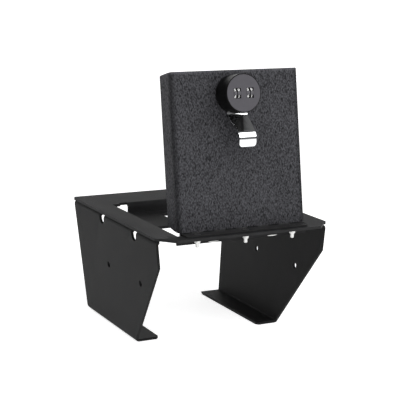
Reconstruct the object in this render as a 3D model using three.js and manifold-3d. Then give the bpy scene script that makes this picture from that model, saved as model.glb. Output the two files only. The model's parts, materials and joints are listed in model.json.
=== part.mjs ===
// Console safe: a bent-steel frame on two legs, with a lid on a front piano hinge and a four-wheel dial lock.
// Millimetres, +Z up, front of the safe towards -Y, feet on Z = 0. The lid stands open at rest.
import * as THREE from "three";
import { mergeVertices } from "three/addons/utils/BufferGeometryUtils.js";
import Module from "manifold-3d";

const wasm = await Module();
wasm.setup();

// Clearances
const SEAT_GAP = 0.3; // between two fixed pieces that seat on each other
const PIN_CLEARANCE = 0.1; // radial, round a turning pin
const SIDE_PLAY = 0.3; // along an axle, beside each turning piece
const CUT_PAST = 5; // how far a cutting solid runs past the face that it cuts

// Frame: top plate and legs
const SHEET = 3;
const HEIGHT = 138; // feet to the top of the plate
const PLATE_WIDTH = 210;
const PLATE_DEPTH = 242;
const PLATE_CORNER_R = 4;
const SIDE_STRIP = 26; // plate left beside the opening
const LEG_INSET = 0.7; // leg behind the plate's side edge
const LEG_LEAN = 12.4; // how far each leg leans in, top to foot
const LEG_FRONT_INSET = 1.2;
const LEG_FRONT_STRAIGHT = 33; // upright stretch of the leg's front edge, below the plate's top
const LEG_REAR_TAPER = 12;
const LEG_TAB_WIDTH = 20; // turned in under the plate
const LEG_TAB_SETBACK = 12; // tab kept short of the leg's front and rear edges
const FOOT_WIDTH = 28.5;
const FOOT_FRONT = 81; // front end of the foot, behind the plate's front edge
const FOOT_CORNER = 4;
const BEND_R = 1.5; // inside radius of a sharp bend
const NOTCH_R = 6.3; // half-round end of a notch in a leg
const NOTCH_DEPTH = 15.2; // notch's lowest point, below the plate's top
const NOTCH_IN_TAB = 8.7; // how far a notch runs in across the leg's tab
const NOTCH_CENTRES = [60.5, 153];
const LEG_HOLE_R = 3.6;
const LEG_HOLE_CENTRES = [52.7, 144];
const LEG_HOLE_DROP = 62; // below the plate's top

// Front strip: runs on in front of the side strips, with slanted ends, and turns down at the opening
const FRONT_REACH = 16;
const FLARE_START = 4; // slanted end meets the side strip this far in from the plate's side
const FLARE_END = 18; // and the strip's front edge this far in
const FRONT_FLANGE = 10.5; // lower edge of the turned-down flange, below the plate's top
const FRONT_FLANGE_BACK = 5; // the flange's rear face, behind the front of the side strips
const FRONT_FLANGE_BEND_R = 1;

// Strike tongue: cut from the opening, dropped and run forward under the lid
const TONGUE_WIDTH = 117;
const TONGUE_DROP = 13;
const TONGUE_FRONT = 104.5;
const TONGUE_BEND_R = 3;
const RELIEF_WIDTH = 10.5;

// Piano hinge
const KNUCKLES = 11;
const KNUCKLE_GAP = 0.4;
const BARREL_R = 2;
const HINGE_PIN_R = 1;
const LEAF = 1.2;
const LEAF_REACH = 17.3; // each leaf's free edge from the pin's axis
const HINGE_END_ROOM = 1; // between the hinge's end and the plate
const WIDEST_ANGLE = 91.5; // degrees that the hinge folds back, past which the lid meets the frame's leaf

// Countersunk screws through the hinge and the front strip, with lock nuts below
const SCREW_COUNT = 3;
const SCREW_PITCH = 58;
const SCREW_SETBACK = 6.5; // screw's axis from the front edge of the leaf
const SCREW_R = 2;
const SCREW_HEAD_R = 3.6;
const SCREW_HEAD = 1.6;
const SCREW_END = 4.3; // past the nut
const SCREW_CHAMFER = 0.6;
const HINGE_NUT_ACROSS = 6.4;
const HINGE_NUT = 4;
const HINGE_NUT_COLLAR_R = 2.9;
const HINGE_NUT_COLLAR = 1.4;

// Lid, laid out closed: +Y towards its free edge, +Z out of its outer face, origin on the hinge axis
const OPEN_ANGLE = 81.5; // degrees, as the lid stands
const LID_WIDTH = 154.8;
const LID_LENGTH = 169.7;
const LID_SHEET = 2.5;
const LID_FLANGE = 25;
const LID_BEND_R = 1.2;
const LID_SETBACK = 2.2; // hinge axis to the lid's hinge edge
const LID_CORNER_R = 2.5;
const LID_EDGE_GAP = 1.1; // closed lid's free edge to the plate
const FLANGE_CUT_HINGE = 7; // slant of the side flanges' ends at the hinge
const FLANGE_CUT_FREE = 3; // and at the free edge
const FLANGE_CUT_START = 3; // below the lid's outer face

// Dial lock
const LOCK_OFFSET = -5.2; // lock axis from the middle of the lid
const LOCK_REACH = 143.9; // lock axis from the lid's hinge edge
const SLEEVE_R = 9.5;
const SLEEVE_BORE_R = 4.6;
const COLLAR_R = 20.6;
const COLLAR = 2.5;
const LOCK_STAND = 27.4; // knob's face above the lid
const KNOB_R = 20.6;
const KNOB_EDGE = 0.4;
const FACE_R = 19.7;
const FACE = 0.8;
const NUT_ACROSS = 24;
const NUT = 4;
const SPINDLE_R = 4.2;
const SPINDLE_SQUARE = 5.9;
const SPINDLE_BORE_R = 2.2;
const SPINDLE_BORE = 9;

// Cam, washer and screw on the spindle's end
const CAM = 3;
const CAM_WIDTH = 14;
const CAM_REACH = 17;
const CAM_ROOM = 0.7; // closed cam below the tongue
const WASHER_R = 7;
const WASHER = 0.7;
const CAM_SCREW_R = 1.9;
const CAM_SCREW_HEAD_R = 5;
const CAM_SCREW_HEAD = 2.4;
const CAM_SCREW_SHANK = 7;

// Number wheels
const WHEEL_R = 10.1;
const WHEEL = 3.5;
const WHEEL_DIGITS = 8;
const DIGIT_RECESS = 0.7; // digits lie in recesses between raised ribs
const RIB_SHARE = 0.5; // of the pitch from digit to digit
const RIB_SLOPE = 0.04; // share taken by each side of a rib
const WHEEL_PROUD = 0.4; // above the knob's face
const PAIR_OFFSET = 7.6; // middle of each pair from the lock axis
const WHEEL_PITCH = 4.35;
const AXLE_R = 1.5;
const WINDOW_HALF = 5.5; // half of a window's height
const WHEEL_ROOM = 0.3; // radial, round a wheel in its pocket
const AXLE_SOCKET = 1.6; // axle held in the knob beyond the outer wheels

// Finger pull
const PULL_SHEET = 1.5;
const PULL_OFFSET = -0.6; // pull's middle from the middle of the lid
const PULL_TOP_WIDTH = 24;
const PULL_END_WIDTH = 20;
const PULL_BASE_R = 17;
const PULL_BEND_MARGIN = 2; // edge of the lock's collar to the bend off the lid
const PULL_OUT = 22.5; // how far the pull stands off the lid
const PULL_SLOPE_END = 44; // lock axis to the pull's outer bend
const PULL_END = 56.5; // lock axis to the pull's tip
const PULL_TIP_DIP = 3; // tip drawn in towards the lid
const PULL_TIP_CORNER = 3.5;
const PULL_BEND_R = 3;
const PULL_CURL_R = 10.5;

// Slot in the tongue, round the lock's sleeve and the turned-back cam
const SLOT_HALF = 12.5;
const SLOT_CAM_ROOM = 1.5;
const SLOT_SLEEVE_ROOM = 3.5;

// Facets
const ROUND_STEPS = 40;
const SMALL_STEPS = 20;
const BEND_STEPS = 5;

const COATED_BLACK = { color: 0x2b2b2c, roughness: 0.55, metalness: 0.3 };
const TEXTURED_BLACK = { color: 0x313236, roughness: 0.75, metalness: 0.3 };
const LOCK_BLACK = { color: 0x141415, roughness: 0.4, metalness: 0.2 };
const FACE_GREY = { color: 0x4a4950, roughness: 0.5, metalness: 0.5 };
const BRIGHT_METAL = { color: 0xc9c9c6, roughness: 0.3, metalness: 1 };
const CHROME = { color: 0xe4e6e8, roughness: 0.1, metalness: 1 };
const ZINC = { color: 0x9b9c9a, roughness: 0.4, metalness: 1 };

// Levels worked out from the dimensions above, from the plate's top down
const leafTop = SEAT_GAP + LEAF;
const hingeLevel = leafTop - BARREL_R;
const hingeY = FRONT_FLANGE_BACK + SEAT_GAP + BARREL_R;
const openingBack = hingeY + LID_SETBACK + LID_LENGTH + LID_EDGE_GAP;
const openingHalf = PLATE_WIDTH / 2 - SIDE_STRIP;
const screwY = hingeY - LEAF_REACH + SCREW_SETBACK;
const nutTop = -SHEET - SEAT_GAP;
const nutBottom = nutTop - HINGE_NUT - HINGE_NUT_COLLAR;
const screwPlaces = Array.from(
  { length: SCREW_COUNT },
  (_, i) => (i - (SCREW_COUNT - 1) / 2) * SCREW_PITCH,
);
const hingeLength = LID_WIDTH - 2 * (LID_SHEET + LID_BEND_R + SEAT_GAP);
const knuckleLength = hingeLength / KNUCKLES;
const knuckleRoom = BARREL_R / Math.cos(THREE.MathUtils.degToRad(WIDEST_ANGLE) / 2) + SIDE_PLAY;

// Levels in the closed lid, from the hinge axis
const lidInner = BARREL_R + SEAT_GAP;
const lidOuter = lidInner + LID_SHEET;
const lockY = LID_SETBACK + LOCK_REACH;
const pullTop = lidOuter + SEAT_GAP + PULL_SHEET;
const collarBottom = pullTop + SEAT_GAP;
const collarTop = collarBottom + COLLAR;
const knobBottom = collarTop + SEAT_GAP;
const faceTop = lidOuter + LOCK_STAND;
const wheelZ = faceTop + WHEEL_PROUD - WHEEL_R;
const pocketFloor = wheelZ - WHEEL_R - WHEEL_ROOM;
const axleHalf = PAIR_OFFSET + WHEEL_PITCH / 2 + WHEEL / 2 + SIDE_PLAY + AXLE_SOCKET;
const camTop = -TONGUE_DROP - SHEET - CAM_ROOM - hingeLevel;
const sleeveEnd = camTop + 2 * SEAT_GAP + WASHER;
const camBottom = camTop - CAM;
const wheelCentres = [-1, 1].flatMap((side) =>
  [-1, 1].map((half) => side * PAIR_OFFSET + (half * WHEEL_PITCH) / 2),
);

const X_ALONG_Y_Z = new THREE.Matrix4().makeBasis(
  new THREE.Vector3(0, 1, 0),
  new THREE.Vector3(0, 0, 1),
  new THREE.Vector3(1, 0, 0),
);
const Y_ALONG_X_Z = new THREE.Matrix4().makeBasis(
  new THREE.Vector3(1, 0, 0),
  new THREE.Vector3(0, 0, 1),
  new THREE.Vector3(0, -1, 0),
);

// A closed three.js geometry as a manifold-3d solid, with its shared vertices merged.
function solid(geometry) {
  const bare = geometry.clone();
  bare.deleteAttribute("normal");
  bare.deleteAttribute("uv");
  const merged = mergeVertices(bare, 1e-4);
  return new wasm.Manifold(
    new wasm.Mesh({
      numProp: 3,
      vertProperties: new Float32Array(merged.attributes.position.array),
      triVerts: new Uint32Array(merged.index.array),
    }),
  );
}

function without(body, cuts) {
  return cuts.reduce((rest, cut) => rest.subtract(cut), body);
}

function geometryOf(body) {
  const { numProp, vertProperties, triVerts } = body.getMesh();
  const geometry = new THREE.BufferGeometry();
  geometry.setAttribute("position", new THREE.BufferAttribute(vertProperties, numProp));
  geometry.setIndex(new THREE.BufferAttribute(triVerts, 1));
  const flat = geometry.toNonIndexed();
  flat.computeVertexNormals();
  return flat;
}

function named(name, body, finish) {
  const mesh = new THREE.Mesh(geometryOf(body), new THREE.MeshStandardMaterial(finish));
  mesh.name = name;
  return mesh;
}

function extruded(outline, depth, holes = []) {
  const shape = new THREE.Shape(outline);
  shape.holes = holes.map((points) => new THREE.Path(points));
  return new THREE.ExtrudeGeometry(shape, { depth, bevelEnabled: false });
}

// An outline in X and Y, raised from one level to another.
function plateOf(outline, bottom, top, holes) {
  return solid(extruded(outline, top - bottom, holes).translate(0, 0, bottom));
}

// An outline in Y and Z, run along X.
function runAlongX(outline, left, right) {
  return solid(extruded(outline, right - left).applyMatrix4(X_ALONG_Y_Z).translate(left, 0, 0));
}

// An outline in X and Z, run along Y.
function runAlongY(outline, front, back) {
  return solid(extruded(outline, back - front).applyMatrix4(Y_ALONG_X_Z).translate(0, back, 0));
}

function block(left, right, front, back, bottom, top) {
  const geometry = new THREE.BoxGeometry(right - left, back - front, top - bottom);
  geometry.translate((left + right) / 2, (front + back) / 2, (bottom + top) / 2);
  return solid(geometry);
}

// A cylinder standing on Z between two levels.
function post(radius, bottom, top, x = 0, y = 0, steps = ROUND_STEPS) {
  const geometry = new THREE.CylinderGeometry(radius, radius, top - bottom, steps);
  geometry.rotateX(Math.PI / 2).translate(x, y, (bottom + top) / 2);
  return solid(geometry);
}

// A cylinder lying along X between two ends.
function rod(radius, left, right, y, z, steps = SMALL_STEPS) {
  const geometry = new THREE.CylinderGeometry(radius, radius, right - left, steps);
  geometry.rotateZ(Math.PI / 2).translate((left + right) / 2, y, z);
  return solid(geometry);
}

// A body turned round Z, from a profile of radius and level that starts and ends on the axis.
function turned(profile, x, y, steps = SMALL_STEPS) {
  const points = profile.map(([radius, level]) => new THREE.Vector2(radius, level));
  const geometry = new THREE.LatheGeometry(points, steps);
  geometry.rotateX(Math.PI / 2).translate(x, y, 0);
  return solid(geometry);
}

function rounded(left, right, front, back, radius) {
  const shape = new THREE.Shape();
  shape.absarc(right - radius, front + radius, radius, -Math.PI / 2, 0);
  shape.absarc(right - radius, back - radius, radius, 0, Math.PI / 2);
  shape.absarc(left + radius, back - radius, radius, Math.PI / 2, Math.PI);
  shape.absarc(left + radius, front + radius, radius, Math.PI, 1.5 * Math.PI);
  return shape.getPoints(BEND_STEPS).slice(0, -1);
}

function regular(sides, across, x, y) {
  const radius = across / 2 / Math.cos(Math.PI / sides);
  return Array.from({ length: sides }, (_, i) => {
    const angle = (2 * Math.PI * i) / sides;
    return new THREE.Vector2(x + radius * Math.cos(angle), y + radius * Math.sin(angle));
  });
}

// The outline of a bent sheet, from corner points along its middle and an inside radius for each bend.
function bentSheet(middle, thickness, insideRadii) {
  const points = middle.map(([a, b]) => new THREE.Vector2(a, b));
  const half = thickness / 2;
  const sides = [half, -half].map((offset) => {
    const line = [];
    points.forEach((corner, i) => {
      const before = i > 0 && corner.clone().sub(points[i - 1]).normalize();
      const after = i < points.length - 1 && points[i + 1].clone().sub(corner).normalize();
      if (!before || !after) {
        const along = before || after;
        line.push(corner.clone().add(new THREE.Vector2(-along.y, along.x).multiplyScalar(offset)));
        return;
      }
      const turn = Math.atan2(before.cross(after), before.dot(after));
      const sign = Math.sign(turn);
      const radius = insideRadii[i - 1] + half;
      const start = corner.clone().addScaledVector(before, -radius * Math.tan(Math.abs(turn) / 2));
      const inwards = new THREE.Vector2(-before.y, before.x).multiplyScalar(sign);
      const centre = start.clone().addScaledVector(inwards, radius);
      for (let step = 0; step <= BEND_STEPS; step++) {
        const spoke = inwards.clone().negate();
        spoke.rotateAround(new THREE.Vector2(), (turn * step) / BEND_STEPS);
        line.push(centre.clone().addScaledVector(spoke, radius - sign * offset));
      }
    });
    return line;
  });
  const outline = [...sides[0], ...sides[1].reverse()];
  return THREE.ShapeUtils.area(outline) < 0 ? outline.reverse() : outline;
}

// Frame pieces, with Z = 0 at the plate's top

function topPlate() {
  const half = PLATE_WIDTH / 2;
  const tongueHalf = TONGUE_WIDTH / 2;
  const reliefHalf = tongueHalf + RELIEF_WIDTH;
  const bendStart = openingBack + SHEET + TONGUE_BEND_R;
  const flangeStart = FRONT_FLANGE_BACK - SHEET - FRONT_FLANGE_BEND_R;
  const flat = plateOf(rounded(-half, half, 0, PLATE_DEPTH, PLATE_CORNER_R), -SHEET, 0);
  const frontStrip = plateOf(
    [
      new THREE.Vector2(-half + FLARE_END, -FRONT_REACH),
      new THREE.Vector2(half - FLARE_END, -FRONT_REACH),
      new THREE.Vector2(half - FLARE_START, 0),
      new THREE.Vector2(half - FLARE_START, PLATE_CORNER_R),
      new THREE.Vector2(-half + FLARE_START, PLATE_CORNER_R),
      new THREE.Vector2(-half + FLARE_START, 0),
    ],
    -SHEET,
    0,
  );
  const opening = block(-openingHalf, openingHalf, flangeStart, openingBack, -SHEET - 1, 1);
  const hingeEnd = hingeLength / 2 + HINGE_END_ROOM;
  const hingeRoom = block(-hingeEnd, hingeEnd, flangeStart, hingeY + knuckleRoom, -SHEET - 1, 1);
  const relief = block(-reliefHalf, reliefHalf, openingBack - 1, bendStart, -SHEET - 1, 1);
  const flangePath = [
    [flangeStart - SHEET, -SHEET / 2],
    [FRONT_FLANGE_BACK - SHEET / 2, -SHEET / 2],
    [FRONT_FLANGE_BACK - SHEET / 2, -FRONT_FLANGE],
  ];
  const flange = runAlongX(
    bentSheet(flangePath, SHEET, [FRONT_FLANGE_BEND_R]),
    -openingHalf,
    openingHalf,
  );
  const wallMiddle = openingBack + SHEET / 2;
  const shelfMiddle = -TONGUE_DROP - SHEET / 2;
  const tonguePath = [
    [bendStart + SHEET, -SHEET / 2],
    [wallMiddle, -SHEET / 2],
    [wallMiddle, shelfMiddle],
    [TONGUE_FRONT, shelfMiddle],
  ];
  const tongue = runAlongX(
    bentSheet(tonguePath, SHEET, [TONGUE_BEND_R, BEND_R]),
    -tongueHalf,
    tongueHalf,
  );
  const closedLockY = hingeY + lockY;
  const slot = block(
    LOCK_OFFSET - CAM_REACH - SLOT_CAM_ROOM,
    LOCK_OFFSET + SLEEVE_R + SLOT_SLEEVE_ROOM,
    closedLockY - SLOT_HALF,
    closedLockY + SLOT_HALF,
    -TONGUE_DROP - SHEET - 1,
    -TONGUE_DROP + 1,
  );
  const holes = screwPlaces.map((x) => screwRoom(x, -SHEET - 1, screwY));
  const strips = without(flat.add(frontStrip), [opening, hingeRoom, relief]);
  return named("top_plate", without(strips.add(flange).add(tongue), [slot, ...holes]), COATED_BLACK);
}

// The room for a countersunk screw, from a level below the leaf's top to just above the leaf.
function screwRoom(x, bottom, y) {
  const profile = [
    [0, bottom],
    [SCREW_R + SEAT_GAP, bottom],
    [SCREW_R + SEAT_GAP, leafTop - SCREW_HEAD],
    [SCREW_HEAD_R + SEAT_GAP, leafTop],
    [SCREW_HEAD_R + SEAT_GAP, leafTop + 1],
    [0, leafTop + 1],
  ];
  return turned(profile, x, y);
}

// One leg: tab under the plate, leaning wall with notches and holes, foot turned in. side is -1 or 1.
function leg(side, name) {
  const top = -SHEET - SEAT_GAP;
  const bottom = -HEIGHT;
  const outerTop = PLATE_WIDTH / 2 - LEG_INSET;
  const section = [
    [side * (outerTop - LEG_TAB_WIDTH), top - SHEET / 2],
    [side * (outerTop - SHEET / 2), top - SHEET / 2],
    [side * (outerTop - LEG_LEAN - SHEET / 2), bottom + SHEET / 2],
    [side * (outerTop - LEG_LEAN - FOOT_WIDTH), bottom + SHEET / 2],
  ];
  const sheet = runAlongY(bentSheet(section, SHEET, [BEND_R, BEND_R]), 0, PLATE_DEPTH);
  const rear = PLATE_DEPTH - LEG_REAR_TAPER;
  const outline = [
    new THREE.Vector2(LEG_FRONT_INSET, 0),
    new THREE.Vector2(LEG_FRONT_INSET, -LEG_FRONT_STRAIGHT),
    new THREE.Vector2(FOOT_FRONT, bottom + SHEET),
    new THREE.Vector2(FOOT_FRONT, bottom - 1),
    new THREE.Vector2(rear - FOOT_CORNER, bottom - 1),
    new THREE.Vector2(rear - FOOT_CORNER, bottom),
    new THREE.Vector2(rear, bottom + FOOT_CORNER),
    new THREE.Vector2(PLATE_DEPTH - LEG_FRONT_INSET, 0),
  ];
  const span = (near, far) => (side < 0 ? [-far, -near] : [near, far]);
  const half = PLATE_WIDTH / 2;
  const tabRoom = outerTop - SHEET - BEND_R;
  const tabFront = LEG_FRONT_INSET + LEG_TAB_SETBACK;
  const tabBack = PLATE_DEPTH - LEG_FRONT_INSET - LEG_TAB_SETBACK;
  const notch = (y) => {
    const [left, right] = span(outerTop - NOTCH_IN_TAB, half);
    const arcLevel = NOTCH_R - NOTCH_DEPTH;
    const straight = block(left, right, y - NOTCH_R, y + NOTCH_R, arcLevel, 0);
    return rod(NOTCH_R, left, right, y, arcLevel).add(straight);
  };
  const hole = (y) => rod(LEG_HOLE_R, ...span(0, half), y, -LEG_HOLE_DROP);
  const cuts = [
    block(...span(0, tabRoom), 0, tabFront, top - SHEET - BEND_R, 0),
    block(...span(0, tabRoom), tabBack, PLATE_DEPTH, top - SHEET - BEND_R, 0),
    footCornerCut(side, outerTop - LEG_LEAN - FOOT_WIDTH, bottom),
    ...NOTCH_CENTRES.map(notch),
    ...LEG_HOLE_CENTRES.map(hole),
  ];
  const wall = sheet.intersect(runAlongX(outline, -half, half));
  return named(name, without(wall, cuts), COATED_BLACK);
}

// The cut-off inner front corner of a foot.
function footCornerCut(side, inner, bottom) {
  const outline = [
    new THREE.Vector2(side * (inner - 1), FOOT_FRONT - 1),
    new THREE.Vector2(side * (inner + FOOT_CORNER), FOOT_FRONT - 1),
    new THREE.Vector2(side * (inner - 1), FOOT_FRONT + FOOT_CORNER),
  ];
  const turnedRight = THREE.ShapeUtils.area(outline) < 0 ? outline.reverse() : outline;
  return plateOf(turnedRight, bottom - 1, bottom + SHEET + 1);
}

// Knuckles first, first + 2, and so on, bored for the pin and lying on the hinge axis.
function knuckleRow(first) {
  const bodies = [];
  for (let i = first; i < KNUCKLES; i += 2) {
    const left = -hingeLength / 2 + i * knuckleLength + KNUCKLE_GAP / 2;
    bodies.push(rod(BARREL_R, left, left + knuckleLength - KNUCKLE_GAP, 0, 0));
  }
  return bodies;
}

// A hinge leaf: a strip tangent to the barrel's top, cut away beside the other leaf's knuckles so far
// that the leaves can fold back past flat.
function hingeLeaf(first, other, front, back) {
  const strip = block(-hingeLength / 2, hingeLength / 2, front, back, BARREL_R - LEAF, BARREL_R);
  const gaps = [];
  for (let i = other; i < KNUCKLES; i += 2) {
    const left = -hingeLength / 2 + i * knuckleLength - KNUCKLE_GAP / 2;
    gaps.push(rod(knuckleRoom, left, left + knuckleLength + KNUCKLE_GAP, 0, 0));
  }
  const bore = rod(HINGE_PIN_R + PIN_CLEARANCE, -hingeLength, hingeLength, 0, 0);
  const cut = without(strip, gaps);
  return knuckleRow(first).reduce((body, knuckle) => body.add(knuckle), cut).subtract(bore);
}

function frameLeaf() {
  const leaf = hingeLeaf(1, 0, -LEAF_REACH, 0).translate([0, hingeY, hingeLevel]);
  const holes = screwPlaces.map((x) => screwRoom(x, -1, screwY));
  return named("hinge_leaf_frame", without(leaf, holes), COATED_BLACK);
}

function lidLeaf() {
  return named("hinge_leaf_lid", hingeLeaf(0, 1, 0, LEAF_REACH), COATED_BLACK);
}

function hingePin() {
  const body = rod(HINGE_PIN_R, -hingeLength / 2, hingeLength / 2, hingeY, hingeLevel);
  return named("hinge_pin", body, ZINC);
}

function hingeScrew(x, name) {
  const end = nutBottom - SCREW_END;
  const profile = [
    [0, end],
    [SCREW_R - SCREW_CHAMFER, end],
    [SCREW_R, end + SCREW_CHAMFER],
    [SCREW_R, leafTop - SCREW_HEAD],
    [SCREW_HEAD_R, leafTop],
    [0, leafTop],
  ];
  return named(name, turned(profile, x, screwY), LOCK_BLACK);
}

// A lock nut: hexagon against the front strip, rounded collar below it.
function hingeNut(x, name) {
  const hexBottom = nutTop - HINGE_NUT;
  const hex = plateOf(regular(6, HINGE_NUT_ACROSS, x, screwY), hexBottom, nutTop);
  const collar = turned(
    [
      [0, nutBottom],
      [HINGE_NUT_COLLAR_R * 0.8, nutBottom],
      [HINGE_NUT_COLLAR_R, nutBottom + HINGE_NUT_COLLAR / 2],
      [HINGE_NUT_COLLAR_R, hexBottom + 0.5],
      [0, hexBottom + 0.5],
    ],
    x,
    screwY,
  );
  const bore = post(SCREW_R + SEAT_GAP, nutBottom - 1, nutTop + 1, x, screwY, SMALL_STEPS);
  return named(name, hex.add(collar).subtract(bore), BRIGHT_METAL);
}

// Lid pieces, closed, with the hinge axis on X

function lidPan() {
  const half = LID_WIDTH / 2;
  const middle = LID_SHEET / 2;
  const flangeEnd = lidOuter - LID_FLANGE;
  const section = [
    [-half + middle, flangeEnd],
    [-half + middle, lidOuter - middle],
    [half - middle, lidOuter - middle],
    [half - middle, flangeEnd],
  ];
  const hingeEdge = LID_SETBACK;
  const freeEdge = LID_SETBACK + LID_LENGTH;
  const pan = runAlongY(bentSheet(section, LID_SHEET, [LID_BEND_R, LID_BEND_R]), hingeEdge, freeEdge);
  const cutStart = lidOuter - FLANGE_CUT_START;
  const sideView = runAlongX(
    [
      new THREE.Vector2(hingeEdge, lidOuter + 1),
      new THREE.Vector2(hingeEdge, cutStart),
      new THREE.Vector2(hingeEdge + FLANGE_CUT_HINGE, flangeEnd),
      new THREE.Vector2(hingeEdge + FLANGE_CUT_HINGE, flangeEnd - 1),
      new THREE.Vector2(freeEdge - FLANGE_CUT_FREE, flangeEnd - 1),
      new THREE.Vector2(freeEdge - FLANGE_CUT_FREE, flangeEnd),
      new THREE.Vector2(freeEdge, cutStart),
      new THREE.Vector2(freeEdge, lidOuter + 1),
    ],
    -half - 1,
    half + 1,
  );
  const plan = plateOf(
    rounded(-half, half, hingeEdge, freeEdge, LID_CORNER_R),
    flangeEnd - 1,
    lidOuter + 1,
  );
  const lockHole = post(SLEEVE_R + SEAT_GAP, lidInner - 1, lidOuter + 1, LOCK_OFFSET, lockY);
  return named("lid_pan", pan.intersect(sideView).intersect(plan).subtract(lockHole), TEXTURED_BLACK);
}

// A flat base clamped under the lock's collar, then a tapered strip that leans out and curls down.
function fingerPull() {
  const middle = lidOuter + SEAT_GAP + PULL_SHEET / 2;
  const bendY = lockY - COLLAR_R - PULL_BEND_MARGIN;
  const tipY = lockY - PULL_END;
  const outer = middle + PULL_OUT;
  const side = [
    [lockY, middle],
    [bendY, middle],
    [lockY - PULL_SLOPE_END, outer],
    [tipY, outer - PULL_TIP_DIP],
  ];
  const strip = runAlongX(
    bentSheet(side, PULL_SHEET, [PULL_BEND_R, PULL_CURL_R]),
    -PULL_TOP_WIDTH / 2,
    PULL_TOP_WIDTH / 2,
  );
  const wide = PULL_TOP_WIDTH / 2;
  const narrow = PULL_END_WIDTH / 2;
  const plan = plateOf(
    [
      new THREE.Vector2(-wide, lockY + 1),
      new THREE.Vector2(-wide, bendY),
      new THREE.Vector2(-narrow, lockY - PULL_SLOPE_END),
      new THREE.Vector2(-narrow, tipY + PULL_TIP_CORNER),
      new THREE.Vector2(-narrow + PULL_TIP_CORNER, tipY),
      new THREE.Vector2(narrow - PULL_TIP_CORNER, tipY),
      new THREE.Vector2(narrow, tipY + PULL_TIP_CORNER),
      new THREE.Vector2(narrow, lockY - PULL_SLOPE_END),
      new THREE.Vector2(wide, bendY),
      new THREE.Vector2(wide, lockY + 1),
    ],
    lidOuter,
    outer + PULL_SHEET,
  );
  const base = post(PULL_BASE_R, lidOuter + SEAT_GAP, pullTop, LOCK_OFFSET, lockY);
  const hole = post(SLEEVE_R + SEAT_GAP, lidOuter, pullTop + 1, LOCK_OFFSET, lockY);
  const shaped = strip.intersect(plan).translate([PULL_OFFSET, 0, 0]);
  return named("finger_pull", shaped.add(base).subtract(hole), CHROME);
}

function lockCollar() {
  const flange = post(COLLAR_R, collarBottom, collarTop, LOCK_OFFSET, lockY);
  const sleeve = post(SLEEVE_R, sleeveEnd, collarBottom + 1, LOCK_OFFSET, lockY);
  const bore = post(SLEEVE_BORE_R, sleeveEnd - 1, collarTop + 1, LOCK_OFFSET, lockY, SMALL_STEPS);
  return named("lock_collar", flange.add(sleeve).subtract(bore), LOCK_BLACK);
}

function lockNut() {
  const top = lidInner - SEAT_GAP;
  const hex = plateOf(regular(6, NUT_ACROSS, LOCK_OFFSET, lockY), top - NUT, top);
  const bore = post(SLEEVE_R + SEAT_GAP, top - NUT - 1, top + 1, LOCK_OFFSET, lockY);
  return named("lock_nut", hex.subtract(bore), ZINC);
}

// One window for each pair of wheels: x limits from the lock axis.
function pairLimits(side) {
  const reach = WHEEL_PITCH / 2 + WHEEL / 2 + SIDE_PLAY;
  return [side * PAIR_OFFSET - reach, side * PAIR_OFFSET + reach];
}

function windowCuts(bottom, top, halfHeight) {
  return [-1, 1].map((side) => {
    const [left, right] = pairLimits(side);
    return block(
      LOCK_OFFSET + left,
      LOCK_OFFSET + right,
      lockY - halfHeight,
      lockY + halfHeight,
      bottom,
      top,
    );
  });
}

function lockKnob() {
  const recess = faceTop - FACE - SEAT_GAP;
  const profile = [
    [0, knobBottom],
    [KNOB_R, knobBottom],
    [KNOB_R, faceTop - KNOB_EDGE],
    [KNOB_R - KNOB_EDGE, faceTop],
    [0, faceTop],
  ];
  const cuts = [
    post(FACE_R + SEAT_GAP, recess, faceTop + 1, LOCK_OFFSET, lockY),
    ...windowCuts(pocketFloor, recess + 1, WHEEL_R + WHEEL_ROOM),
    rod(
      AXLE_R + PIN_CLEARANCE,
      LOCK_OFFSET - axleHalf - SEAT_GAP,
      LOCK_OFFSET + axleHalf + SEAT_GAP,
      lockY,
      wheelZ,
    ),
  ];
  const body = turned(profile, LOCK_OFFSET, lockY, ROUND_STEPS);
  return named("lock_knob", without(body, cuts), LOCK_BLACK);
}

function lockFace() {
  const disc = post(FACE_R, faceTop - FACE, faceTop, LOCK_OFFSET, lockY);
  const windows = windowCuts(faceTop - FACE - 1, faceTop + 1, WINDOW_HALF);
  return named("lock_face", without(disc, windows), FACE_GREY);
}

function lockSpindle() {
  const half = SPINDLE_SQUARE / 2;
  const round = post(SPINDLE_R, camTop + SEAT_GAP, knobBottom - SEAT_GAP, LOCK_OFFSET, lockY, SMALL_STEPS);
  const square = block(
    LOCK_OFFSET - half,
    LOCK_OFFSET + half,
    lockY - half,
    lockY + half,
    camBottom + SEAT_GAP,
    camTop + 1,
  );
  const bore = post(
    SPINDLE_BORE_R,
    camBottom - 1,
    camBottom + SPINDLE_BORE,
    LOCK_OFFSET,
    lockY,
    SMALL_STEPS,
  );
  return named("lock_spindle", round.add(square).subtract(bore), ZINC);
}

function camWasher() {
  const top = sleeveEnd - SEAT_GAP;
  const disc = post(WASHER_R, top - WASHER, top, LOCK_OFFSET, lockY, SMALL_STEPS);
  const bore = post(SPINDLE_R + SEAT_GAP, top - WASHER - 1, top + 1, LOCK_OFFSET, lockY, SMALL_STEPS);
  return named("cam_washer", disc.subtract(bore), ZINC);
}

// The cam points to -X when unlocked, so that it drops through the tongue's slot.
function lockCam() {
  const half = CAM_WIDTH / 2;
  const hub = post(half, camBottom, camTop, LOCK_OFFSET, lockY, SMALL_STEPS);
  const arm = block(LOCK_OFFSET - CAM_REACH, LOCK_OFFSET, lockY - half, lockY + half, camBottom, camTop);
  const room = SPINDLE_SQUARE / 2 + SEAT_GAP;
  const hole = block(
    LOCK_OFFSET - room,
    LOCK_OFFSET + room,
    lockY - room,
    lockY + room,
    camBottom - 1,
    camTop + 1,
  );
  return named("lock_cam", hub.add(arm).subtract(hole), ZINC);
}

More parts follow.
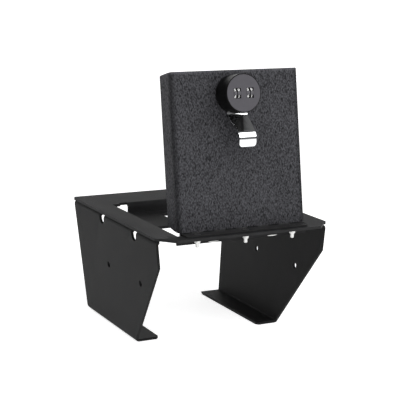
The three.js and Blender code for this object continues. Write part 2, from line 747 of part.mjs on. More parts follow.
function camScrew() {
  const top = camBottom - SEAT_GAP;
  const bottom = top - CAM_SCREW_HEAD;
  const profile = [
    [0, bottom],
    [CAM_SCREW_HEAD_R - 1, bottom],
    [CAM_SCREW_HEAD_R, bottom + 1],
    [CAM_SCREW_HEAD_R, top],
    [CAM_SCREW_R, top],
    [CAM_SCREW_R, top + CAM_SCREW_SHANK],
    [0, top + CAM_SCREW_SHANK],
  ];
  return named("cam_screw", turned(profile, LOCK_OFFSET, lockY), ZINC);
}

function wheelAxle() {
  const body = rod(AXLE_R, LOCK_OFFSET - axleHalf, LOCK_OFFSET + axleHalf, lockY, wheelZ);
  return named("wheel_axle", body, ZINC);
}

// A number wheel: recesses for the digits between raised ribs, with a rib facing out at rest.
function numberWheel(offset, name) {
  const ribHalf = RIB_SHARE / 2;
  const rim = [];
  for (let digit = 0; digit < WHEEL_DIGITS; digit++) {
    [
      [-ribHalf, WHEEL_R],
      [0, WHEEL_R],
      [ribHalf, WHEEL_R],
      [ribHalf + RIB_SLOPE, WHEEL_R - DIGIT_RECESS],
      [1 - ribHalf - RIB_SLOPE, WHEEL_R - DIGIT_RECESS],
    ].forEach(([share, radius]) => {
      const angle = (2 * Math.PI * (digit + share)) / WHEEL_DIGITS + Math.PI / 2;
      rim.push(new THREE.Vector2(lockY + radius * Math.cos(angle), wheelZ + radius * Math.sin(angle)));
    });
  }
  const x = LOCK_OFFSET + offset;
  const body = runAlongX(rim, x - WHEEL / 2, x + WHEEL / 2);
  const bore = rod(AXLE_R + PIN_CLEARANCE, x - WHEEL, x + WHEEL, lockY, wheelZ);
  return named(name, body.subtract(bore), LOCK_BLACK);
}

const frame = new THREE.Group();
frame.position.z = HEIGHT;
frame.add(topPlate(), leg(-1, "leg_left"), leg(1, "leg_right"), frameLeaf(), hingePin());
screwPlaces.forEach((x, i) => {
  frame.add(hingeScrew(x, `hinge_screw_${i + 1}`), hingeNut(x, `hinge_nut_${i + 1}`));
});

const lid = new THREE.Group();
lid.position.set(0, hingeY, hingeLevel);
lid.rotation.x = THREE.MathUtils.degToRad(OPEN_ANGLE);
lid.add(lidPan(), lidLeaf(), fingerPull(), lockCollar(), lockNut(), lockKnob(), lockFace());
lid.add(lockSpindle(), camWasher(), lockCam(), camScrew(), wheelAxle());
wheelCentres.forEach((offset, i) => lid.add(numberWheel(offset, `number_wheel_${i + 1}`)));
frame.add(lid);

// The origin is on the floor, in the middle of the safe as it stands open.
const safe = new THREE.Group();
safe.add(frame);
safe.updateMatrixWorld(true);
const extent = new THREE.Box3().setFromObject(safe);
frame.position.y = -(extent.min.y + extent.max.y) / 2;

export default safe;
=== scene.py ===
import json
import math

import bmesh
import bpy
import numpy as np
from mathutils import Matrix, Vector


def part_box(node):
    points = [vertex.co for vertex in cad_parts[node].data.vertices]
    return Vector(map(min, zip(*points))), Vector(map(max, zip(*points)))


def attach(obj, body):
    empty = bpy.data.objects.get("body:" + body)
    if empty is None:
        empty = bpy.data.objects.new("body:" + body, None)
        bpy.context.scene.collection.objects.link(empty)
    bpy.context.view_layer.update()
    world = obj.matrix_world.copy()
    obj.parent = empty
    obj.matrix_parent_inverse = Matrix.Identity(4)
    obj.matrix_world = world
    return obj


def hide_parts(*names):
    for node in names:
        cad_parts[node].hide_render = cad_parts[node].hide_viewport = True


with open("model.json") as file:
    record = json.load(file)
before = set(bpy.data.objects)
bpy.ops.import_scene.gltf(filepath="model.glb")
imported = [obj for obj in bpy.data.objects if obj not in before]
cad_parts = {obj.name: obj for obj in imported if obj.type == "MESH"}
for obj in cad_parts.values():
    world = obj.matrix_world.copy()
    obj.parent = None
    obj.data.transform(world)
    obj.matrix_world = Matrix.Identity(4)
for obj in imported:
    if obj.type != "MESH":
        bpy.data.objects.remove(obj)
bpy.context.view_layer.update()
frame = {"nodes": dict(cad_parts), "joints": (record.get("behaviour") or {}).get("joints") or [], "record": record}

MM = 0.001
TURN = 2 * math.pi

# Sizes that the CAD gives its pieces, in metres
SEAT_GAP = 0.3 * MM  # between two fixed pieces that seat on each other
SHEET = 3 * MM  # frame's sheet
FRONT_REACH = 16 * MM  # front strip, in front of the side strips
FRONT_FLANGE_FACE = 2 * MM  # flange's front face, behind the front of the side strips
HINGE_NUT_ACROSS = 6.4 * MM
HINGE_NUT = 4 * MM
HINGE_NUT_BORE_R = 2.3 * MM
HINGE_NUT_COLLAR_R = 2.9 * MM
HINGE_NUT_COLLAR = 1.4 * MM
LID_FACE = 4.8 * MM  # closed lid's outer face, above the hinge axis
LID_FREE_EDGE = 171.9 * MM  # from the hinge axis
PULL_SHEET = 1.5 * MM
PULL_OFFSET = -0.6 * MM  # pull's middle from the middle of the lid
PULL_TOP_WIDTH = 24 * MM
PULL_END_WIDTH = 20 * MM
PULL_BASE_R = 17 * MM  # ring clamped under the lock's collar
PULL_HOLE_R = 9.8 * MM
PULL_BEND_REACH = 22.6 * MM  # lock axis to the bend off the lid
PULL_SLOPE_END = 44 * MM  # lock axis to the outer bend
PULL_END = 56.5 * MM  # lock axis to the tip
PULL_OUT = 22.5 * MM  # how far the pull stands off the lid
PULL_TIP_DIP = 3 * MM  # tip drawn in towards the lid
PULL_TIP_CORNER = 3.5 * MM
PULL_BEND_R = 3 * MM  # inside radii of the two bends
PULL_CURL_R = 10.5 * MM
WHEEL_R = 10.1 * MM
WHEEL_DIGITS = 8
DIGIT_RECESS = 0.7 * MM
RECESS_SHARE = 0.42  # recess's floor, of the pitch from digit to digit

# Sizes of what only the scene has, in metres
BEAD_REACH = 36 * MM  # middle of each weld bead on the front flange, from the safe's middle
BEAD_LENGTH = 12 * MM
BEAD_HEIGHT = 1.5 * MM
BEAD_PROUD = 0.35 * MM
BEAD_DROP = 9.4 * MM  # below the plate's top
BEAD_CROWN = 0.02  # innermost ring, as a share of the bead's half sizes
BEND_SHADE_WIDTH = 7 * MM  # width of the painted shade beside the lid's side bends
EDGE_HIGHLIGHT_WIDTH = 5 * MM  # width of the painted highlight along the lid's free edge
DIGIT_SIZE = 4.2 * MM
DIGIT_WEIGHT = 0.11 * MM  # added all round a number's strokes
DIGIT_HALF_SLAB = 0.06 * MM
DIGIT_LIFT = 0.08 * MM  # slab's middle above the recess's floor
NUT_CHAMFER = (  # distance in from the end face, and reach past the flats
    (0.0, 0.1 * MM),
    (0.25 * MM, 0.55 * MM),
    (0.5 * MM, 1.0 * MM),
)
CUSHION = 0.25 * HINGE_NUT_COLLAR_R  # how far the nut's collar draws in at its end
PULL_BASE_LAP = 0.2 * MM  # strip's start, inside the ring's edge
PULL_EDGE_R = 0.5 * MM
WHEEL_EDGE_R = 0.12 * MM
EDGE_RADII = {
    "top_plate": 0.45 * MM,
    "leg_left": 0.45 * MM,
    "leg_right": 0.45 * MM,
    "lid_pan": 0.5 * MM,
    "hinge_leaf_frame": 0.15 * MM,
    "hinge_leaf_lid": 0.15 * MM,
    "hinge_pin": 0.2 * MM,
    "hinge_screw_1": 0.12 * MM,
    "hinge_screw_2": 0.12 * MM,
    "hinge_screw_3": 0.12 * MM,
    "lock_collar": 0.4 * MM,
    "lock_nut": 0.4 * MM,
    "lock_knob": 0.25 * MM,
    "lock_face": 0.12 * MM,
    "lock_spindle": 0.2 * MM,
    "cam_washer": 0.12 * MM,
    "lock_cam": 0.35 * MM,
    "cam_screw": 0.25 * MM,
    "wheel_axle": 0.2 * MM,
}

# Merging distances for the CAD's loose triangles and for closed grids
COPY_MERGE = 0.002 * MM
GRID_MERGE = 0.001 * MM

# Angles in degrees: flat faces of a copy join within the first, and edges past the others are sharp
FLAT_WITHIN = 1
COPY_SHARP = 30
GRID_SHARP = 35
SHEET_SHARP = 40

# Points round or along a drawn surface
ROUND_POINTS = 96
BEAD_POINTS = 72
BEAD_RINGS = 10
CUSHION_RINGS = 6
BEND_POINTS = 24
PULL_POINTS_ALONG = 160
PULL_POINTS_ACROSS = 33

# The closed lid's own frame: X across, Y towards the free edge, Z out of the outer face, with the
# origin on the hinge axis
joints = {joint["name"]: joint for joint in frame["joints"]}
hinge_place = np.array(joints["lid_hinge"]["pos_m"])
open_angle = math.radians(-joints["lid_hinge"]["range_deg"][0])
lid_turn = np.array(Matrix.Rotation(open_angle, 3, "X"))


def to_lid(joint):
    """A joint's place in the closed lid's frame."""
    return lid_turn.T @ (np.array(joints[joint]["pos_m"]) - hinge_place)


def from_lid(points):
    """Points of the closed lid's frame, turned open about the hinge axis and moved to it."""
    return points @ lid_turn.T + hinge_place


lock_x, lock_y, _ = to_lid("lock_turn")
_, axle_y, axle_z = to_lid("wheel_1_spin")
pull_middle = LID_FACE + SEAT_GAP + PULL_SHEET / 2

plate_front, plate_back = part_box("top_plate")
plate_top = plate_back.z
flange_face = plate_front.y + FRONT_REACH + FRONT_FLANGE_FACE


# Shader maths

class Tone:
    """One output of a shader node. Arithmetic on it adds Math nodes to the same material."""

    def __init__(self, finish, socket):
        self.finish = finish
        self.socket = socket

    def maths(self, operation, first, second):
        return self.finish.node("ShaderNodeMath", {"operation": operation}, {0: first, 1: second})

    def __add__(self, other):
        return self.maths("ADD", self, other)

    def __radd__(self, other):
        return self.maths("ADD", other, self)

    def __sub__(self, other):
        return self.maths("SUBTRACT", self, other)

    def __rsub__(self, other):
        return self.maths("SUBTRACT", other, self)

    def __mul__(self, other):
        return self.maths("MULTIPLY", self, other)

    def __rmul__(self, other):
        return self.maths("MULTIPLY", other, self)

    def __truediv__(self, other):
        return self.maths("DIVIDE", self, other)

    def __rtruediv__(self, other):
        return self.maths("DIVIDE", other, self)

    def __pow__(self, other):
        return self.maths("POWER", self, other)

    def __rpow__(self, other):
        return self.maths("POWER", other, self)

    def __gt__(self, other):
        return self.maths("GREATER_THAN", self, other)

    def __lt__(self, other):
        return self.maths("LESS_THAN", self, other)


class Finish:
    """A material with one Principled shader, and the few calls that its patterns need."""

    def __init__(self, name, **constants):
        self.material = bpy.data.materials.new(name)
        self.material.use_nodes = True
        self.tree = self.material.node_tree
        self.shader = self.tree.nodes["Principled BSDF"]
        for socket, value in constants.items():
            self.shader.inputs[socket.replace("_", " ")].default_value = value
        self.place = self.node("ShaderNodeTexCoord", {}, {}, "Object")

    def node(self, kind, settings, inputs, output=0):
        """One output of a new node, whose settings come first, then its sockets' values or links."""
        made = self.tree.nodes.new(kind)
        for name, value in settings.items():
            if name == "stops":
                self.set_stops(made, value)
            else:
                setattr(made, name, value)
        for name, value in inputs.items():
            self.join(made.inputs[name], value)
        return Tone(self, made.outputs[output])

    def set_stops(self, ramp, stops):
        elements = ramp.color_ramp.elements
        while len(elements) < len(stops):
            elements.new(1.0)
        for element, (position, tone) in zip(elements, stops):
            element.position = position
            element.color = grey(tone)

    def join(self, socket, value):
        if isinstance(value, Tone):
            self.tree.links.new(value.socket, socket)
        else:
            socket.default_value = value

    def along(self, axis):
        """The place along one axis, in metres."""
        return self.node("ShaderNodeSeparateXYZ", {}, {"Vector": self.place}, axis)

    def stretch(self, scale):
        """Draws the patterns that follow out along each axis whose scale is under 1."""
        inputs = {"Vector": self.place, "Scale": scale}
        self.place = self.node("ShaderNodeMapping", {}, inputs, "Vector")

    def noise(self, size, detail=2.0, roughness=0.5):
        """Noise between 0 and 1 whose features are about size metres across."""
        inputs = {"Vector": self.place, "Scale": 1 / size, "Detail": detail, "Roughness": roughness}
        return self.node("ShaderNodeTexNoise", {}, inputs, "Fac")

    def pebbles(self, size):
        """Distance, as a share of size, to the nearest of scattered points about size metres apart."""
        inputs = {"Vector": self.place, "Scale": 1 / size}
        return self.node("ShaderNodeTexVoronoi", {"feature": "SMOOTH_F1"}, inputs, "Distance")

    def ramp(self, value, *stops):
        return self.node("ShaderNodeValToRGB", {"stops": stops}, {"Fac": value}, "Color")

    def blend(self, share, first, second):
        """A colour between first and second."""
        inputs = {"Factor": share, 6: first, 7: second}
        return self.node("ShaderNodeMix", {"data_type": "RGBA"}, inputs, 2)

    def colour(self, value):
        self.join(self.shader.inputs["Base Color"], value)

    def metal(self, value):
        self.join(self.shader.inputs["Metallic"], value)

    def rough(self, value):
        self.join(self.shader.inputs["Roughness"], value)

    def bump(self, height, depth):
        """Raises the surface by height, which runs from 0 to 1, times depth in metres."""
        inputs = {"Height": height, "Strength": 1.0, "Distance": depth}
        normal = self.node("ShaderNodeBump", {}, inputs, "Normal")
        self.join(self.shader.inputs["Normal"], normal)


def grey(value, blue=0.0):
    """A grey whose blue is raised by the share given."""
    return (value, value, value * (1 + blue), 1)


FACE_DARK, FACE_LIGHT = (0.050, 0.048, 0.055, 1), (0.073, 0.070, 0.080, 1)
ZINC_DARK, ZINC_LIGHT = (0.5, 0.5, 0.49, 1), (0.72, 0.72, 0.71, 1)
CHROME_DARK, CHROME_LIGHT = (0.72, 0.73, 0.74, 1), (0.8, 0.81, 0.82, 1)


# Finishes

def frame_coat(name, dark, light, shine):
    """Fine powder coat: a tight grain, faint cloudiness and a slightly rough skin."""
    finish = Finish(name, Specular_IOR_Level=shine)
    grain = finish.noise(0.7 * MM)
    cloud = finish.noise(22 * MM, 3.0)
    tone = finish.ramp(grain * 0.45 + cloud * 0.55, (0.36, 0.0), (0.66, 1.0))
    finish.colour(finish.blend(tone, grey(dark, 0.02), grey(light, 0.04)))
    finish.rough(0.46 + cloud * 0.14 + grain * 0.1)
    finish.bump(grain, 0.09 * MM)
    return finish.material


def painted_lid_shade_and_highlight(finish):
    """Masks for the painted shade beside the side bends and the painted highlight along the free edge:
    how near a point is to a side bend and to the free edge, each 1 there and 0 a mask's width away.
    The distance from a bend is the drop below the outer face plus the distance from the side."""
    cos, sin = float(lid_turn[1, 1]), float(lid_turn[2, 1])
    y = finish.along("Y") - hinge_place[1]
    z = finish.along("Z") - hinge_place[2]
    reach = cos * y + sin * z
    height = cos * z - sin * y
    half_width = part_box("lid_pan")[1].x
    from_bend = LID_FACE - height + half_width - (finish.along("X") ** 2) ** 0.5
    bend = finish.ramp(from_bend / BEND_SHADE_WIDTH, (0.0, 1.0), (1.0, 0.0))
    edge = finish.ramp((LID_FREE_EDGE - reach) / EDGE_HIGHLIGHT_WIDTH, (0.0, 1.0), (1.0, 0.0))
    return bend, edge


def lid_coat():
    """Coarse wrinkled powder coat: rounded pebbles, drawn out along the lid, with highlights painted on
    their crowns. Shade is painted on beside the side bends, and a highlight is painted along the free
    edge."""
    finish = Finish("lid_coat", Specular_IOR_Level=0.06)
    # bend and edge are the masks of the painted shade and the painted highlight
    bend, edge = painted_lid_shade_and_highlight(finish)
    finish.stretch((1, 1, 0.55))
    pebble = finish.pebbles(1.25 * MM)
    swirl = finish.noise(1.3 * MM, 3.0, 0.65)
    grain = finish.noise(0.7 * MM)
    cloud = finish.noise(30 * MM)
    height = (1 - pebble) * 0.5 + swirl * 0.75 + grain * 0.25
    # highlights painted on the pebbles' crowns, lighter the higher they stand
    painted_crown_highlights = finish.ramp(height * 0.9 + cloud * 0.1, (0.58, 0.0), (0.98, 1.0))
    # painted shade darkens the coat beside the side bends, and a painted highlight lightens it along the free edge
    tone = painted_crown_highlights * (1 - bend * 0.85) + edge ** 2 * 0.8
    finish.colour(finish.blend(tone, grey(0.008, 0.10), grey(0.084, 0.10)))
    finish.rough(0.45 + swirl * 0.25)
    finish.bump(height, 0.9 * MM)
    return finish.material


def lock_black():
    """Satin black knob and collar, with a faint grain."""
    finish = Finish("lock_black", Specular_IOR_Level=0.16)
    cloud = finish.noise(9 * MM)
    grain = finish.noise(0.3 * MM)
    finish.colour(finish.blend(cloud, grey(0.001), grey(0.003)))
    finish.rough(0.34 + cloud * 0.12)
    finish.bump(grain, 0.02 * MM)
    return finish.material


def face_colour(finish):
    """A fine blasted grey with a trace of violet."""
    grain = finish.noise(0.35 * MM)
    cloud = finish.noise(12 * MM)
    return finish.blend(cloud * 0.6 + grain * 0.4, FACE_DARK, FACE_LIGHT)


def face_grey():
    """Fine blasted grey metal."""
    finish = Finish("face_grey", Metallic=0.3, Specular_IOR_Level=0.4)
    grain = finish.noise(0.35 * MM)
    finish.colour(face_colour(finish))
    finish.rough(0.5 + grain * 0.1)
    finish.bump(grain, 0.02 * MM)
    return finish.material


def wheel_black():
    """Number wheels: black recesses, and ribs, further from the axle, that are grey like the face."""
    finish = Finish("wheel_black", Specular_IOR_Level=0.4)
    _, y, z = joints["wheel_1_spin"]["pos_m"]
    radius = ((finish.along("Y") - y) ** 2 + (finish.along("Z") - z) ** 2) ** 0.5
    rib = radius > WHEEL_R - DIGIT_RECESS / 2
    grain = finish.noise(0.5 * MM)
    black = finish.blend(grain, grey(0.003), grey(0.006))
    finish.colour(finish.blend(rib, black, face_colour(finish)))
    finish.rough(0.4 + grain * 0.15)
    return finish.material


def number_white():
    """Matte white paint of the numbers."""
    finish = Finish("number_white")
    grain = finish.noise(0.5 * MM)
    finish.colour(finish.blend(grain, grey(0.75), grey(0.9)))
    finish.rough(0.45 + grain * 0.1)
    return finish.material


def screw_black():
    """Black countersunk head above the plate's underside, bright zinc on the thread below it."""
    finish = Finish("screw_black")
    grain = finish.noise(0.5 * MM)
    thread = finish.along("Z") < plate_top - SHEET
    black = finish.blend(grain, grey(0.010), grey(0.02))
    zinc = finish.blend(grain, ZINC_DARK, ZINC_LIGHT)
    finish.colour(finish.blend(thread, black, zinc))
    finish.metal(thread)
    finish.rough(0.3 + grain * 0.15)
    return finish.material


def zinc_steel():
    """Bright zinc plate, a little cloudy."""
    finish = Finish("zinc_steel", Metallic=1.0)
    grain = finish.noise(0.6 * MM)
    cloud = finish.noise(5 * MM, 3.0)
    finish.colour(finish.blend(cloud * 0.7 + grain * 0.3, ZINC_DARK, ZINC_LIGHT))
    finish.rough(0.24 + cloud * 0.2)
    finish.bump(grain, 0.015 * MM)
    return finish.material


def pull_chrome():
    """Polished chrome with a trace of waviness."""
    finish = Finish("pull_chrome", Metallic=1.0)
    wave = finish.noise(14 * MM, 1.0)
    haze = finish.noise(4 * MM, 3.0)
    finish.colour(finish.blend(wave, CHROME_DARK, CHROME_LIGHT))
    finish.rough(0.03 + haze * 0.04)
    finish.bump(wave, 0.02 * MM)
    return finish.material


finishes = {
    "frame_coat": frame_coat("frame_coat", dark=0.006, light=0.012, shine=0.08),
    # the plate's and the leaf's coats are the frame coat painted lighter, standing in for the light that reaches
    # them
    "lit_plate_coat": frame_coat("lit_plate_coat", dark=0.018, light=0.028, shine=0.05),
    "lit_leaf_coat": frame_coat("lit_leaf_coat", dark=0.024, light=0.034, shine=0.05),
    "lid_coat": lid_coat(),
    "lock_black": lock_black(),
    "face_grey": face_grey(),
    "wheel_black": wheel_black(),
    "number_white": number_white(),
    "screw_black": screw_black(),
    "zinc_steel": zinc_steel(),
    "pull_chrome": pull_chrome(),
}

# Nodes whose finish is a copy of their slot's painted lighter, standing in for the light that reaches them
painted_lighter_finish = {"top_plate": "lit_plate_coat", "hinge_leaf_frame": "lit_leaf_coat"}


# Meshes

def added(name, data):
    """A new object in the scene, at the origin."""
    obj = bpy.data.objects.new(name, data)
    bpy.context.scene.collection.objects.link(obj)
    return obj


def dressed(obj, body, material, replaced=()):
    """Gives a finished piece its material and body, and hides the CAD nodes that it replaces."""
    obj.data.materials.clear()
    obj.data.materials.append(material)
    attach(obj, body)
    if replaced:
        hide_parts(*replaced)


def body_of(node):
    bodies = frame["record"]["behaviour"]["bodies"]
    return next(body for body, nodes in bodies.items() if node in nodes)


def slot_of(node):
    subparts = frame["record"]["subparts"]
    return next(part["material_slot"] for part in subparts if part["node"] == node)


def shade(mesh, sharp):
    """Shades a mesh smooth, apart from edges that turn by more than sharp degrees."""
    mesh.shade_smooth()
    mesh.set_sharp_from_angle(angle=math.radians(sharp))


def round_edges(obj, radius, segments, sharp):
    """Rounds the edges that turn by more than sharp degrees."""
    edge = obj.modifiers.new("edge", "BEVEL")
    edge.width = radius
    edge.segments = segments
    edge.limit_method = "ANGLE"
    edge.angle_limit = math.radians(sharp)
    edge.harden_normals = True


def softened(node, radius):
    """A copy of a CAD node, merged, with its flat faces joined and its sharp edges rounded."""
    mesh = frame["nodes"][node].data.copy()
    work = bmesh.new()
    work.from_mesh(mesh)
    bmesh.ops.remove_doubles(work, verts=work.verts, dist=COPY_MERGE)
    flat = math.radians(FLAT_WITHIN)
    bmesh.ops.dissolve_limit(work, angle_limit=flat, verts=work.verts, edges=work.edges)
    work.to_mesh(mesh)
    work.free()
    shade(mesh, COPY_SHARP)
    obj = added(f"{node}_finished", mesh)
    round_edges(obj, radius, 2, COPY_SHARP)
    finish = finishes[painted_lighter_finish.get(node, slot_of(node))]
    dressed(obj, body_of(node), finish, [node])


def surface(x, y, z):
    """Grid points from three arrays of rows by columns, each of which may have one row or column."""
    return np.stack(np.broadcast_arrays(x, y, z), axis=-1)


def grid_mesh(name, points, wrap_rows=False, wrap_columns=False):
    """A mesh from an array of rows by columns by 3, with quads between neighbours."""
    rows, columns, _ = points.shape
    index = np.arange(rows * columns).reshape(rows, columns)
    if wrap_rows:
        index = np.vstack([index, index[:1]])
    if wrap_columns:
        index = np.hstack([index, index[:, :1]])
    corners = [index[:-1, :-1], index[:-1, 1:], index[1:, 1:], index[1:, :-1]]
    quads = np.stack(corners, axis=-1).reshape(-1, 4)
    mesh = bpy.data.meshes.new(name)
    mesh.from_pydata(points.reshape(-1, 3).tolist(), [], quads.tolist())
    shade(mesh, GRID_SHARP)
    return added(name, mesh)


def closed_ring(name, points):
    """A mesh whose grid wraps both ways, with its faces turned to point out."""
    obj = grid_mesh(name, points, wrap_rows=True, wrap_columns=True)
    work = bmesh.new()
    work.from_mesh(obj.data)
    bmesh.ops.remove_doubles(work, verts=work.verts, dist=GRID_MERGE)
    bmesh.ops.recalc_face_normals(work, faces=work.faces)
    work.to_mesh(obj.data)
    work.free()
    return obj


def rounded_path(corners, radii):
    """A polyline with each inner corner replaced by an arc of its radius, tangent to both sides."""
    corners = np.asarray(corners, float)
    parts = [corners[:1]]
    for i, radius in enumerate(radii, start=1):
        back = corners[i - 1] - corners[i]
        ahead = corners[i + 1] - corners[i]
        back = back / np.linalg.norm(back)
        ahead = ahead / np.linalg.norm(ahead)
        half = math.acos(float(back @ ahead)) / 2
        middle = (back + ahead) / np.linalg.norm(back + ahead)
        centre = corners[i] + middle * radius / math.sin(half)
        start = corners[i] + back * radius / math.tan(half) - centre
        side = back[1] * ahead[0] - back[0] * ahead[1]
        angle = np.linspace(0, math.copysign(math.pi - 2 * half, side), BEND_POINTS)
        turned = np.stack([
            start[0] * np.cos(angle) - start[1] * np.sin(angle),
            start[0] * np.sin(angle) + start[1] * np.cos(angle),
        ], axis=1)
        parts.append(centre + turned)
    parts.append(corners[-1:])
    return np.vstack(parts)


def resampled(path, count):
    """The same polyline with count points at equal distances along it."""
    lengths = np.linalg.norm(np.diff(path, axis=0), axis=1)
    along = np.concatenate([[0], np.cumsum(lengths)])
    wanted = np.linspace(0, along[-1], count)
    return np.stack([np.interp(wanted, along, path[:, k]) for k in range(2)], axis=1)


def pull_strip():
    """The pull as a ruled strip: a side profile carried across the width. A point is the profile at u,
    moved sideways by v times the half width at u, where v runs from -1 to 1. The half width tapers
    linearly from the bend off the lid to the outer bend, and ends in a quarter circle at each corner
    of the tip. Solidify gives the sheet."""
    start = lock_y - PULL_BASE_R + PULL_BASE_LAP
    bend = lock_y - PULL_BEND_REACH
    slope_end = lock_y - PULL_SLOPE_END
    tip = lock_y - PULL_END
    outer = pull_middle + PULL_OUT
    half_sheet = PULL_SHEET / 2
    corners = [
        [start, pull_middle],
        [bend, pull_middle],
        [slope_end, outer],
        [tip, outer - PULL_TIP_DIP],
    ]
    path = rounded_path(corners, [PULL_BEND_R + half_sheet, PULL_CURL_R + half_sheet])
    side = resampled(path, PULL_POINTS_ALONG)
    taper = np.clip((bend - side[:, :1]) / (bend - slope_end), 0, 1)
    half_width = (PULL_TOP_WIDTH + (PULL_END_WIDTH - PULL_TOP_WIDTH) * taper) / 2
    into_tip = np.clip((PULL_TIP_CORNER - (side[:, :1] - tip)) / PULL_TIP_CORNER, 0, 1)
    half_width -= PULL_TIP_CORNER * (1 - np.sqrt(1 - into_tip**2))
    across = np.linspace(-1, 1, PULL_POINTS_ACROSS)
    points = surface(PULL_OFFSET + across * half_width, side[:, :1], side[:, 1:])
    strip = grid_mesh("finger_pull_strip", from_lid(points))
    sheet = strip.modifiers.new("sheet", "SOLIDIFY")
    sheet.thickness = PULL_SHEET
    sheet.offset = 0
    sheet.use_even_offset = True
    round_edges(strip, PULL_EDGE_R, 4, SHEET_SHARP)
    dressed(strip, "lid", finishes["pull_chrome"], ["finger_pull"])


def pull_base():
    """The pull's flat ring under the lock's collar, an oblong section carried round the lock's axis."""
    angle = np.linspace(0, TURN, ROUND_POINTS, endpoint=False)
    radius = np.array([[PULL_HOLE_R], [PULL_BASE_R], [PULL_BASE_R], [PULL_HOLE_R]])
    level = pull_middle + PULL_SHEET / 2 * np.array([[1], [1], [-1], [-1]])
    points = surface(lock_x + radius * np.cos(angle), lock_y + radius * np.sin(angle), level)
    base = closed_ring("finger_pull_base", from_lid(points))
    dressed(base, "lid", finishes["pull_chrome"])


def hinge_nut(index):
    """A lock nut under the front strip as rings of points. A ring is a circle, or a hexagon of half
    width h, whose radius at angle a is h over the cosine of a's distance from the nearest flat's
    middle, limited by a cone that chamfers the corners. The collar below it is rounded like a
    cushion."""
    node = f"hinge_nut_{index}"
    low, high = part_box(node)
    centre_x, centre_y, top = (low.x + high.x) / 2, (low.y + high.y) / 2, high.z
    foot = top - HINGE_NUT
    half = HINGE_NUT_ACROSS / 2
    flat = TURN / 6
    angle = np.linspace(0, TURN, ROUND_POINTS, endpoint=False)
    hexagon = half / np.cos(angle % flat - flat / 2)
    rings = [(HINGE_NUT_BORE_R, top), (half, top)]
    for inset, reach in NUT_CHAMFER:
        rings.append((np.minimum(hexagon, half + reach), top - inset))
    for inset, reach in reversed(NUT_CHAMFER):
        rings.append((np.minimum(hexagon, half + reach), foot + inset))
    for bow in np.linspace(0, TURN / 4, CUSHION_RINGS):
        radius = HINGE_NUT_COLLAR_R - CUSHION + CUSHION * math.cos(bow)
        rings.append((radius, foot - HINGE_NUT_COLLAR * math.sin(bow)))
    rings.append((HINGE_NUT_BORE_R, foot - HINGE_NUT_COLLAR))
    radii = np.stack([np.broadcast_to(radius, angle.shape) for radius, _ in rings])
    levels = np.array([[level] for _, level in rings])
    points = surface(centre_x + radii * np.cos(angle), centre_y + radii * np.sin(angle), levels)
    nut = closed_ring(f"{node}_finished", points)
    dressed(nut, "frame", finishes["zinc_steel"], [node])


def weld_bead(name, side):
    """A low bead along the front flange. A point at share s and angle a lies s cos a of the half
    length along the flange and s sin a of the half height up it. It stands proud of the flange by
    the root of 1 minus s squared, times the bead's full rise."""
    angle = np.linspace(0, TURN, BEAD_POINTS, endpoint=False)
    share = np.linspace(1, BEAD_CROWN, BEAD_RINGS)[:, None]
    points = surface(
        side * BEAD_REACH + share * np.cos(angle) * BEAD_LENGTH / 2,
        flange_face - BEAD_PROUD * np.sqrt(1 - share**2),
        plate_top - BEAD_DROP + share * np.sin(angle) * BEAD_HEIGHT / 2,
    )
    bead = grid_mesh(name, points, wrap_columns=True)
    dressed(bead, "frame", finishes["zinc_steel"])


def number(wheel, digit):
    """One painted number, a thin slab of text on its wheel's recess, in the middle of the digit's
    share of the wheel. The numbers of the four wheels start at different places."""
    curve = bpy.data.curves.new("number", "FONT")
    curve.body = str((digit * 3 + wheel * 5) % 10)
    curve.size = DIGIT_SIZE
    curve.extrude = DIGIT_HALF_SLAB
    curve.offset = DIGIT_WEIGHT
    curve.align_x = "CENTER"
    curve.align_y = "CENTER"
    curve.resolution_u = 3
    text = added("number", curve)
    evaluated = text.evaluated_get(bpy.context.evaluated_depsgraph_get())
    mesh = bpy.data.meshes.new_from_object(evaluated)
    bpy.data.objects.remove(text)
    pitch = TURN / WHEEL_DIGITS
    floor = (WHEEL_R - DIGIT_RECESS) * math.cos(pitch * RECESS_SHARE / 2)
    lid = Matrix.Translation(hinge_place) @ Matrix(lid_turn).to_4x4()
    spin = joints[f"wheel_{wheel}_spin"]["pos_m"]
    axle = Matrix.Translation((spin[0], axle_y, axle_z))
    tilt = Matrix.Rotation(-(digit + 0.5) * pitch, 4, "X")
    mesh.transform(lid @ axle @ tilt @ Matrix.Translation((0, 0, floor + DIGIT_LIFT)))
    obj = added(f"number_{wheel}_{digit}", mesh)
    dressed(obj, f"wheel_{wheel}", finishes["number_white"])


for node_name, edge_radius in EDGE_RADII.items():
    softened(node_name, edge_radius)
for wheel_index in range(1, 5):
    softened(f"number_wheel_{wheel_index}", WHEEL_EDGE_R)
    for digit_index in range(WHEEL_DIGITS):
        number(wheel_index, digit_index)
for nut_index in range(1, 4):
    hinge_nut(nut_index)
pull_strip()
pull_base()
weld_bead("weld_bead_left", -1)
weld_bead("weld_bead_right", 1)


# Camera, studio and light

def add_camera():
    """The photograph's camera: place, heading, dip and roll in degrees, focal length in pixels."""
    place = Vector((-0.6205, -1.2487, 0.4343))
    heading, dip, roll = (math.radians(angle) for angle in (26.52, 11.53, 0.67))
    focal_px, frame_px, sensor = 1230.04, 400, 36.0
    flat = math.cos(dip)
    ahead = Vector((math.sin(heading) * flat, math.cos(heading) * flat, -math.sin(dip)))
    level = Vector((math.cos(heading), -math.sin(heading), 0))
    upright = level.cross(ahead)
    right = level * math.cos(roll) + upright * math.sin(roll)
    up = upright * math.cos(roll) - level * math.sin(roll)
    camera = added("camera", bpy.data.cameras.new("camera"))
    camera.data.sensor_width = sensor
    camera.data.lens = sensor * focal_px / frame_px
    camera.data.clip_end = 50
    axes = Matrix((right, up, -ahead)).transposed().to_4x4()
    camera.matrix_world = Matrix.Translation(place) @ axes
    bpy.context.scene.camera = camera


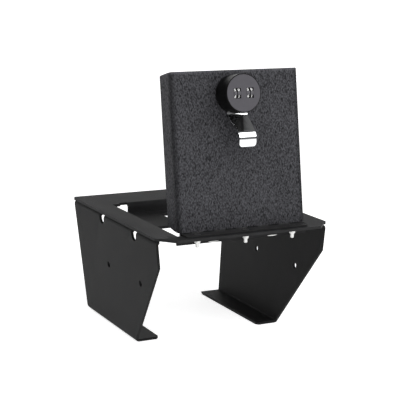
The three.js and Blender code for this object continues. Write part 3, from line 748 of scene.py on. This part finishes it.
def stage_sheet(name, corners, glow, tone=0.85):
    """A flat studio sheet: white, with a glow like a light table's, or black with none."""
    mesh = bpy.data.meshes.new(name)
    mesh.from_pydata(corners, [], [(0, 1, 2, 3)])
    sheet = added(name, mesh)
    white = (1, 1, 1, 1)
    paper = Finish(f"{name}_paper", Roughness=0.9, Emission_Color=white, Emission_Strength=glow)
    paper.colour(grey(tone))
    mesh.materials.append(paper.material)


def level_sheet(left, right, front, back, height):
    """The corners of a level oblong."""
    corners = ((left, front), (right, front), (right, back), (left, back))
    return [(x, y, height) for x, y in corners]


def add_stage():
    """The floor, a backdrop behind the safe, which only shows in what the plate mirrors, and a black
    card high above, which only shows in what the pull's slope mirrors."""
    far = 15.0
    stage_sheet("floor", level_sheet(-far, far, -far, far, 0), glow=0.75)
    wide, behind, low, high = 4.0, 2.5, 0.02, 2.4
    upright = ((-wide, low), (wide, low), (wide, high), (-wide, high))
    backdrop = [(x, behind, z) for x, z in upright]
    stage_sheet("backdrop", backdrop, glow=0.6)
    card = level_sheet(left=-1, right=1.51, front=0.2, back=2.4, height=3.0)
    stage_sheet("card", card, glow=0.0, tone=0.01)


def add_world():
    """A faint even white light from all round."""
    world = bpy.data.worlds.new("studio")
    world.use_nodes = True
    background = world.node_tree.nodes["Background"]
    background.inputs["Color"].default_value = (1, 1, 1, 1)
    background.inputs["Strength"].default_value = 0.14
    bpy.context.scene.world = world


def add_light(name, place, aim, wide, tall, power):
    """A soft oblong light of so many metres and watts, turned to face its aim."""
    data = bpy.data.lights.new(name, "AREA")
    data.shape = "RECTANGLE"
    data.size = wide
    data.size_y = tall
    data.energy = power
    lamp = added(name, data)
    lamp.location = place
    lamp.rotation_euler = (Vector(aim) - Vector(place)).to_track_quat("-Z", "Y").to_euler()


add_camera()
add_stage()
add_world()
add_light("key", (-0.4, -1.25, 1.6), (0, 0, 0.15), wide=1.2, tall=1.2, power=12)
add_light("front", (0.72, -1.06, 1.12), (0, -0.1, 0.25), wide=1.1, tall=1.05, power=16.5)
add_light("rim", (-0.97, 0.29, 1.3), (0, -0.1, 0.25), wide=0.5, tall=0.5, power=1.5)
bpy.context.scene.view_settings.view_transform = "Standard"
